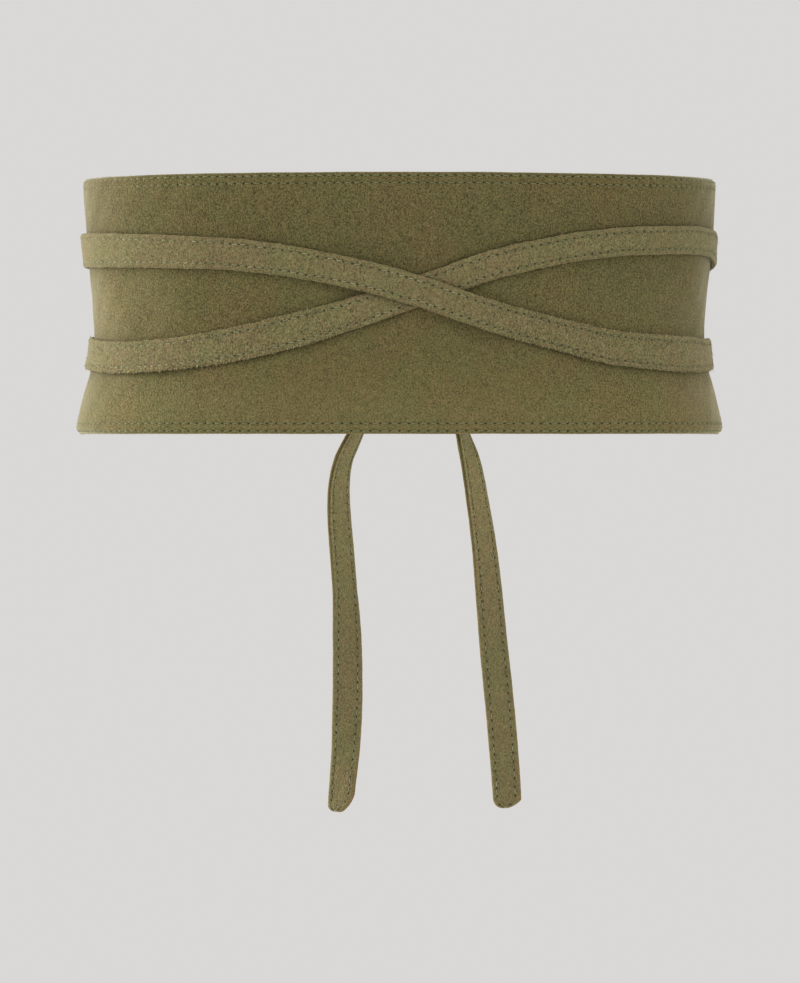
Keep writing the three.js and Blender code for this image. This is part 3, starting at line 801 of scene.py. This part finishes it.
def fibres(roots, ways, drift, kind, seed):
    # Bent three-sided hairs: root + way * s + curl * 0.45 s^2, thinning to a point
    wild, thick, (shortest, longest) = kind["wild"], kind["thick"], kind["long"]
    dice = np.random.default_rng(seed)
    count = len(roots)
    ways = ways + wild * dice.normal(0, 1, ways.shape)
    ways /= np.linalg.norm(ways, axis=1, keepdims=True)
    curl = drift + wild * dice.normal(0, 1, ways.shape)
    long = shortest + (longest - shortest) * dice.random((count, 1)) ** 2
    side = np.cross(ways, curl)
    side /= np.linalg.norm(side, axis=1, keepdims=True)
    other = np.cross(ways, side)
    rings = []
    for s, fat in ((-0.15, 1.0), (0.45, 0.8), (1.0, 0.12)):
        centre = roots + ways * long * s + curl * long * 0.45 * max(s, 0) ** 2
        for k in range(3):
            angle = 2 * np.pi * k / 3
            rings.append(centre + (side * np.cos(angle) + other * np.sin(angle)) * thick * fat / 2)
    points = np.stack(rings, axis=1).reshape(-1, 3)
    single = np.array([[0, 1, 4, 3], [1, 2, 5, 4], [2, 0, 3, 5], [3, 4, 7, 6], [4, 5, 8, 7], [5, 3, 6, 8]])
    faces = (single[None] + (np.arange(count) * 9)[:, None, None]).reshape(-1, 4)
    return points, faces, np.repeat(dice.uniform(0, 1, count), 9)


# Hairs and tufts root so far in from a strap's edge, at a share of its half thickness between the two of
# "at", and point past the edge and up. "many" is for each millimetre of the upper (1) and the lower (-1) edge
fuzz = {
    "hairs": {
        "many": {1: 2.0, -1: 3.0}, "foldTo": 0.3, "fromTip": 0.5, "at": (-0.5, 0.8), "root": 0.4, "past": 0.6,
        "up": 0.25, "drift": 0.6, "long": (0.6, 1.6), "thick": 0.2, "wild": 0.55, "seed": 400,
    },
    "tufts": {
        "many": {1: 0.8, -1: 2.4}, "foldTo": 1.0, "fromTip": 0.5, "at": (0.1, 0.75), "root": 0.7, "past": 0.5,
        "up": 0.3, "drift": 0.4, "long": (0.9, 1.6), "thick": 0.55, "wild": 0.28, "seed": 410,
    },
    "nap": {
        "many": {1: 9.8, -1: 3.5}, "foldTo": 0.5, "fromTip": 1.0, "long": (0.4, 1.3), "thick": 0.17,
        "wild": 0.55, "seed": 420,
    },
    "cut": {"count": 1500, "long": (0.15, 0.5), "thick": 0.11, "wild": 0.55, "seed": 440},
    "elsewhere": 0.3,  # share of them at the back
    "noneBelow": -12,  # and none on the hanging ends, below this height
}


def shagAt(path, run):
    # 1 across the front, less elsewhere: the nap stands up where the strap rubs
    front = ease((80 - np.abs(waistTurn(path, run))) / 12)
    shag = np.clip(front + fuzz["elsewhere"] * (1 - front), 0, 1)
    return shag * np.where(heightAt(path, run) < fuzz["noneBelow"], 0.0, 1)


def spreadRuns(dice, path, kind, side):
    # Lengths along the strap at random, none where it is folded in the knot
    run = dice.uniform(1, path["total"] - kind["fromTip"], int(path["total"] * kind["many"][side]))
    return run[np.interp(run, path["run"], path["fold"]) <= kind["foldTo"]]


def edgeFibres(form, path, sign, kind, dice, shareAt):
    # Roots at random along an edge, kept by the share of each place; each points out past the edge
    run = spreadRuns(dice, path, kind, sign)
    run = run[dice.random(len(run)) < shareAt(run)]
    half = halfAt(path, form, run, sign)
    q = dice.uniform(*kind["at"], len(run)) * strap["thick"] / 2
    root = strapPoint(path, run, sign * (half - kind["root"]), q)
    way = strapPoint(path, run, sign * (half + kind["past"]), q + kind["up"]) - root
    drift = strapPoint(path, run + 1.0, sign * half, q) - strapPoint(path, run, sign * half, q)
    drift = drift * dice.choice([-1, 1], (len(run), 1)) * kind["drift"]
    way /= np.linalg.norm(way, axis=1, keepdims=True)
    return fibres(root, way, drift, kind, kind["seed"] + sign)


def strapFibres(name, form, path):
    # Hairs and tufts along both edges, and the nap on both faces
    dice = np.random.default_rng(70 + form["mirrored"])
    parts = []
    for sign in (1, -1):
        def hairShare(run):
            patchy = 0.75 + 0.35 * ripple(run, 31, 81 + sign)
            return shagAt(path, run) * patchy * np.where(heightAt(path, run) < strap["low"][0], 1.0, 0.4)

        def tuftShare(run):
            return lowAt(path, run) * shagAt(path, run) * (np.abs(waistTurn(path, run)) < 78)

        parts.append(edgeFibres(form, path, sign, fuzz["hairs"], dice, hairShare))
        parts.append(edgeFibres(form, path, sign, fuzz["tufts"], dice, tuftShare))
    nap = fuzz["nap"]
    for side in (1, -1):
        run = spreadRuns(dice, path, nap, side)
        run = run[dice.random(len(run)) < shagAt(path, run) * (0.3 + 0.7 * lowAt(path, run))]
        p = dice.uniform(-1, 1, len(run)) * (np.interp(run, path["run"], path["width"]) / 2 - 0.8)
        face = side * strap["thick"] / 2 + 0 * run
        root = strapPoint(path, run, p, face)
        way = strapPoint(path, run + 0.4, p - 1.0, face + side * 0.45) - root
        drift = 0.4 * (strapPoint(path, run, p - 1, face) - root)
        parts.append(fibres(root, way, drift, nap, nap["seed"] + side))
    return joinParts(name, parts)


def panelFibres():
    # Short fibres that stand up and down from the cut, along both long edges
    dice = np.random.default_rng(75)
    cut = fuzz["cut"]
    parts = []
    for up, sign in ((0.1, -1), (belt["tall"] - 0.1, 1)):
        arc = dice.uniform(-cornerStart, cornerStart, cut["count"])
        depth = dice.uniform(-belt["wall"] * 0.85, -0.2, len(arc))
        root = panelSurface(arc, up + 0 * arc, depth)
        way = np.stack([0 * arc, 0 * arc, 0 * arc + sign], axis=-1)
        drift = panelSurface(arc, up + 0 * arc, depth + 0.4) - root
        parts.append(fibres(root, way, drift, cut, cut["seed"] + sign))
    return joinParts("panelFibres", parts)


# Materials

def linear(red, green, blue):
    # sRGB 0-255 to the linear values that the shader takes
    value = np.array([red, green, blue]) / 255
    value = np.where(value <= 0.04045, value / 12.92, ((value + 0.055) / 1.055) ** 2.4)
    return (*[float(x) for x in value], 1.0)


def addNode(tree, kind, **settings):
    # A setting goes to the input of that name, or else to the node itself
    node = tree.nodes.new(kind)
    for key, value in settings.items():
        if key in node.inputs:
            node.inputs[key].default_value = value
        else:
            setattr(node, key, value)
    return node


def maths(tree, operation, a, b=None, c=None):
    # One operation on up to three numbers or sockets
    node = tree.nodes.new("ShaderNodeMath")
    node.operation = operation
    for socket, value in zip(node.inputs, (a, b, c)):
        if value is None:
            continue
        if isinstance(value, (int, float)):
            socket.default_value = value
        else:
            tree.links.new(value, socket)
    return node.outputs[0]


def mixColour(tree, factor, a, b):
    # a to b by the factor; each is a number, a colour or a socket
    node = tree.nodes.new("ShaderNodeMix")
    node.data_type = "RGBA"
    for socket, value in ((node.inputs[0], factor), (node.inputs[6], a), (node.inputs[7], b)):
        if isinstance(value, (int, float, tuple)):
            socket.default_value = value
        else:
            tree.links.new(value, socket)
    return node.outputs[2]


def noise(tree, coordinates, scale, detail=2.0, stretch=None, roughness=0.55):
    # Between 0 and 1, about 0.5 in the middle; stretch scales the coordinates first
    if stretch is not None:
        mapping = addNode(tree, "ShaderNodeMapping", Scale=stretch)
        tree.links.new(coordinates, mapping.inputs["Vector"])
        coordinates = mapping.outputs["Vector"]
    node = addNode(tree, "ShaderNodeTexNoise", Scale=scale, Detail=detail, Roughness=roughness)
    tree.links.new(coordinates, node.inputs["Vector"])
    return node.outputs["Fac"]


def spread(tree, value, low, high, toLow=0.0, toHigh=1.0):
    # Carries low to high smoothly onto toLow to toHigh
    node = addNode(tree, "ShaderNodeMapRange", interpolation_type="SMOOTHSTEP")
    for key, limit in (("From Min", low), ("From Max", high), ("To Min", toLow), ("To Max", toHigh)):
        node.inputs[key].default_value = limit
    tree.links.new(value, node.inputs["Value"])
    return node.outputs["Result"]


def scaleColour(tree, colour, amount):
    node = addNode(tree, "ShaderNodeVectorMath", operation="SCALE")
    tree.links.new(colour, node.inputs[0])
    tree.links.new(amount, node.inputs["Scale"])
    return node.outputs[0]


def newMaterial(name, roughness, specular, sheen):
    material = bpy.data.materials.new(name)
    material.use_nodes = True
    shader = material.node_tree.nodes["Principled BSDF"]
    shader.inputs["Roughness"].default_value = roughness
    shader.inputs["Specular IOR Level"].default_value = specular
    shader.inputs["Sheen Weight"].default_value = sheen
    return material, material.node_tree, shader


def suedeMaterial(name, look):
    # Cloudy green and brown patches. Nap and grain scale the light by 1 + rough * gain * (noise - 0.5) each,
    # creases get painted shade from an ambient occlusion reading, the painted light and shade attribute
    # scales the colour, and painted shade marks needle holes at every whole pitch of each stitch row
    material, tree, shader = newMaterial(name, 0.96, 0.1, look["sheen"])
    shader.inputs["Sheen Roughness"].default_value = look["sheenRoughness"]
    shader.inputs["Sheen Tint"].default_value = look["sheenTint"]
    coordinates = tree.nodes.new("ShaderNodeTexCoord").outputs["Object"]
    run = tree.nodes.new("ShaderNodeUVMap")
    run.uv_map = "run"
    split = tree.nodes.new("ShaderNodeSeparateXYZ")
    tree.links.new(run.outputs["UV"], split.inputs[0])
    edge, seam, paintedShading, sunk, rough = (addNode(tree, "ShaderNodeAttribute", attribute_name=key).outputs["Fac"]
                                     for key in ("rawEdge", "seam", "paintedShading", "sunk", "rough"))

    clouds = spread(tree, noise(tree, coordinates, look["cloudScale"], 2.0), 0.36, 0.64)
    colour = mixColour(tree, clouds, look["green"], look["brown"])
    specks = noise(tree, coordinates, look["speckScale"], 2.0)
    colour = mixColour(tree, spread(tree, specks, 0.5, 0.68, 0.0, look["specks"]), colour, look["speckGreen"])
    colour = mixColour(tree, spread(tree, specks, 0.5, 0.32, 0.0, look["specks"]), colour, look["speckBrown"])

    nap = noise(tree, coordinates, look["napScale"], 2.0, look["napStretch"])
    grain = noise(tree, coordinates, look["grainScale"], 2.0, look["grainStretch"], 0.6)
    swing = maths(tree, "MULTIPLY_ADD", nap, look["napGain"], -(look["napGain"] + look["grainGain"]) / 2)
    swing = maths(tree, "MULTIPLY_ADD", grain, look["grainGain"], swing)
    gain = maths(tree, "MAXIMUM", maths(tree, "MULTIPLY_ADD", swing, rough, 1.0), 0.3)
    # Painted shade: the colour is darkened where the ambient occlusion reading finds a crease or the gap
    # beside a strap
    creaseShade = tree.nodes.new("ShaderNodeAmbientOcclusion")
    creaseShade.samples = 6
    creaseShade.inputs["Distance"].default_value = look["creaseShadeReach"]
    shade = spread(tree, creaseShade.outputs["AO"], 0.35, 0.85, look["creaseShadeDark"], 1.0)
    colour = scaleColour(tree, colour, maths(tree, "MULTIPLY", maths(tree, "MULTIPLY", gain, shade), paintedShading))

    # the uv map holds pitches along a row and centimetres from the edge; a hole is longer along the row
    alongRow = maths(tree, "PINGPONG", split.outputs["X"], 0.5)
    fromHole = maths(tree, "MULTIPLY", alongRow, belt["pitch"] * look["holeSquash"])
    upRow = maths(tree, "MULTIPLY", split.outputs["Y"], 10.0)
    holes = None
    for row in look["rows"]:
        fromRow = maths(tree, "SUBTRACT", upRow, row)
        far = maths(tree, "SQRT", maths(tree, "ADD", maths(tree, "POWER", fromHole, 2.0),
                                        maths(tree, "MULTIPLY", fromRow, fromRow)))
        spot = spread(tree, far, look["holeSize"], 0.15)
        holes = spot if holes is None else maths(tree, "MAXIMUM", holes, spot)
    holes = maths(tree, "MULTIPLY", holes, maths(tree, "SUBTRACT", 1.0, sunk))
    # painted shade: the needle holes, which the mesh does not cut, are painted dark
    colour = mixColour(tree, maths(tree, "MULTIPLY", holes, look["holeShade"]), colour, look["paintedShadeColour"])
    ragged = maths(tree, "MULTIPLY", edge, spread(tree, grain, 0.3, 0.6, 0.45, 1.0))
    colour = mixColour(tree, maths(tree, "MULTIPLY", ragged, look["rawShow"]), colour, look["raw"])
    # painted shade on the seam and on the hanging end's left edge, in the shade colour
    colour = mixColour(tree, maths(tree, "MULTIPLY", seam, look["seamShadeDark"]), colour, look["paintedShadeColour"])
    tree.links.new(colour, shader.inputs["Base Color"])

    bump = addNode(tree, "ShaderNodeBump", Strength=look["bump"], Distance=0.0006)
    high = maths(tree, "MULTIPLY_ADD", nap, 0.5, grain)
    high = maths(tree, "SUBTRACT", high, maths(tree, "MULTIPLY", holes, 0.4))
    tree.links.new(high, bump.inputs["Height"])
    tree.links.new(bump.outputs["Normal"], shader.inputs["Normal"])
    return material


def threadMaterial(name, look):
    # A shade for each stitch between green and grey, with a darker twist
    material, tree, shader = newMaterial(name, 0.8, 0.12, 0.8)
    shader.inputs["Sheen Roughness"].default_value = 0.3
    shader.inputs["Sheen Tint"].default_value = linear(230, 226, 190)
    coordinates = tree.nodes.new("ShaderNodeTexCoord").outputs["Object"]
    shade = addNode(tree, "ShaderNodeAttribute", attribute_name="shade").outputs["Fac"]
    colour = mixColour(tree, shade, look["green"], look["grey"])
    twist = noise(tree, coordinates, 2600, 1.0)
    colour = mixColour(tree, spread(tree, twist, 0.42, 0.62, 0.0, 0.35), colour, look["dark"])
    tree.links.new(colour, shader.inputs["Base Color"])
    bump = addNode(tree, "ShaderNodeBump", Strength=0.5, Distance=0.0002)
    tree.links.new(twist, bump.inputs["Height"])
    tree.links.new(bump.outputs["Normal"], shader.inputs["Normal"])
    return material


def fibreMaterial():
    # A shade for each hair between green and brown
    material, tree, shader = newMaterial("looseFibres", 0.9, 0.1, 0.15)
    shade = addNode(tree, "ShaderNodeAttribute", attribute_name="shade").outputs["Fac"]
    colour = mixColour(tree, shade, fibreLook["green"], fibreLook["brown"])
    tree.links.new(colour, shader.inputs["Base Color"])
    return material


panelThreadLook = {"green": linear(112, 120, 84), "grey": linear(122, 121, 88), "dark": linear(90, 92, 62)}
# on the strap, green is the darker thread colour, which the painted shade on the right pushes the stitches to
strapThreadLook = {"green": linear(108, 110, 80), "grey": linear(154, 156, 124), "dark": linear(98, 100, 70)}
fibreLook = {"green": linear(170, 161, 117), "brown": linear(112, 100, 66)}

panelLook = {
    "green": linear(97, 92, 58), "brown": linear(100, 91, 58), "raw": linear(132, 110, 66),
    "paintedShadeColour": linear(44, 40, 24), "cloudScale": 34.0,
    "speckScale": 420.0, "specks": 0.3,
    "speckGreen": linear(94, 94, 58), "speckBrown": linear(109, 91, 62),
    "napScale": 300.0, "napStretch": (1.0, 1.0, 0.7), "napGain": 0.32,
    "grainScale": 1600.0, "grainStretch": (1.0, 1.0, 0.8), "grainGain": 2.7,
    # reach and strength of the painted crease shade
    "creaseShadeReach": 0.0026, "creaseShadeDark": 0.6,
    "rows": belt["stitchIn"], "holeSize": 0.56, "holeSquash": 0.65, "holeShade": 0.9,
    "rawShow": 0.3, "seamShadeDark": 0.0, "bump": 0.5,
    "sheen": 0.9, "sheenRoughness": 0.3, "sheenTint": linear(236, 228, 200),
}

strapLook = {
    "green": linear(112, 107, 72), "brown": linear(115, 105, 73), "raw": linear(150, 119, 68),
    "paintedShadeColour": linear(46, 42, 26), "cloudScale": 40.0,
    "speckScale": 420.0, "specks": 0.4,
    "speckGreen": linear(108, 108, 74), "speckBrown": linear(124, 104, 76),
    "napScale": 360.0, "napStretch": (1.0, 1.0, 0.8), "napGain": 0.4,
    "grainScale": 1500.0, "grainStretch": (1.0, 1.0, 0.8), "grainGain": 2.7,
    # reach and strength of the painted crease shade
    "creaseShadeReach": 0.0026, "creaseShadeDark": 0.55,
    "rows": [strap["stitchIn"]], "holeSize": 0.6, "holeSquash": 0.65, "holeShade": 0.9,
    "rawShow": 0.8, "seamShadeDark": 0.75, "bump": 0.6,
    "sheen": 0.5, "sheenRoughness": 0.3, "sheenTint": linear(236, 228, 200),
}

print("Making the materials")
panelMaterial = suedeMaterial("panelSuede", panelLook)
strapMaterial = suedeMaterial("strapSuede", strapLook)
panelThreadMaterial = threadMaterial("panelThread", panelThreadLook)
strapThreadMaterial = threadMaterial("strapThread", strapThreadLook)
fluff = fibreMaterial()


def finishPiece(thing, material):
    # The whole belt is one body
    thing.data.materials.append(material)
    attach(thing, "root")


print("Making the panel")
panel = buildPanel()
finishPiece(panel, panelMaterial)
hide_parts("panel")
panelThread = sewPanel()
finishPiece(panelThread, panelThreadMaterial)
panelFluff = panelFibres()
finishPiece(panelFluff, fluff)

for label, form, node in (("Over", overStrap, "strap_over"), ("Under", underStrap, "strap_under")):
    print("Making the", label.lower(), "strap")
    path = strapStations(form)
    body = buildStrap("strap" + label, form, path)
    finishPiece(body, strapMaterial)
    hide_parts(node)
    sewn = sewStrap("strap" + label + "Stitches", form, path)
    finishPiece(sewn, strapThreadMaterial)
    hair = strapFibres("strap" + label + "Fibres", form, path)
    finishPiece(hair, fluff)
    print("  length", round(float(path["total"]), 1), "mm")


# Studio

print("Setting up the studio")
studio = {
    "wall": linear(217, 216, 214),
    "floor": linear(232, 231, 229),
    "floorLevel": -1500,
    "floorRadius": 7000,
    "lights": [
        # name, place, target height, size, watts, colour
        ("top", (-0.6, -1.9, 2.3), 0.0, (1.6, 1.2), 20.0, (1.0, 0.99, 0.97)),
        ("left", (-2.1, 0.95, 0.35), 0.0, (1.0, 1.6), 72.0, (1.0, 0.99, 0.96)),
        ("leftFront", (-2.0, -1.6, 0.2), 0.0, (1.0, 1.2), 14.0, (1.0, 0.99, 0.97)),
        ("right", (2.2, 0.7, 0.3), 0.0, (1.0, 1.6), 7.5, (1.0, 0.99, 0.97)),
        ("rightFront", (2.3, -0.9, -0.25), -0.08, (1.0, 1.2), 12.0, (1.0, 0.99, 0.97)),
    ],
}


def aim(thing, target):
    # Turns an object so that its -Z looks at the target
    thing.rotation_euler = (Vector(target) - thing.location).to_track_quat("-Z", "Y").to_euler()


def buildStudio():
    # Pale surroundings, a round floor far below the belt and the softboxes
    world = bpy.data.worlds.new("paleStudio")
    world.use_nodes = True
    background = world.node_tree.nodes["Background"]
    background.inputs["Color"].default_value = studio["wall"]
    background.inputs["Strength"].default_value = 1.0
    bpy.context.scene.world = world
    for name, spot, level, size, watts, tint in studio["lights"]:
        lamp = bpy.data.lights.new(name + "Softbox", "AREA")
        lamp.shape = "RECTANGLE"
        lamp.size, lamp.size_y = size
        lamp.energy = watts
        lamp.color = tint
        holder = bpy.data.objects.new(name + "Softbox", lamp)
        holder.location = spot
        bpy.context.scene.collection.objects.link(holder)
        aim(holder, (0, 0, level))
    angle = np.linspace(0, 2 * np.pi, 96, endpoint=False)
    radius = studio["floorRadius"]
    level = 0 * angle + studio["floorLevel"]
    rim = np.stack([radius * np.cos(angle), radius * np.sin(angle), level], axis=-1)
    ground = makeMesh("studioFloor", rim, [list(range(len(angle)))], smooth=False)
    floorMaterial, _, shader = newMaterial("paleFloor", 0.9, 0.5, 0.0)
    shader.inputs["Base Color"].default_value = studio["floor"]
    ground.data.materials.append(floorMaterial)


buildStudio()

# A long lens straight in front, looking down a little: metres and degrees
camera = {"lens": 249.7, "away": 3.098, "right": 0.00026, "level": -0.04, "pitch": 0.489}
view = bpy.data.cameras.new("photoCamera")
view.lens = camera["lens"]
view.sensor_width = 36.0
view.clip_end = 60.0
holder = bpy.data.objects.new("photoCamera", view)
holder.location = (camera["right"], -camera["away"], camera["level"])
holder.rotation_euler = (np.radians(90 - camera["pitch"]), 0, 0)
bpy.context.scene.collection.objects.link(holder)
bpy.context.scene.camera = holder
bpy.context.scene.view_settings.view_transform = "Standard"
bpy.context.scene.view_settings.look = "None"

bpy.context.view_layer.update()
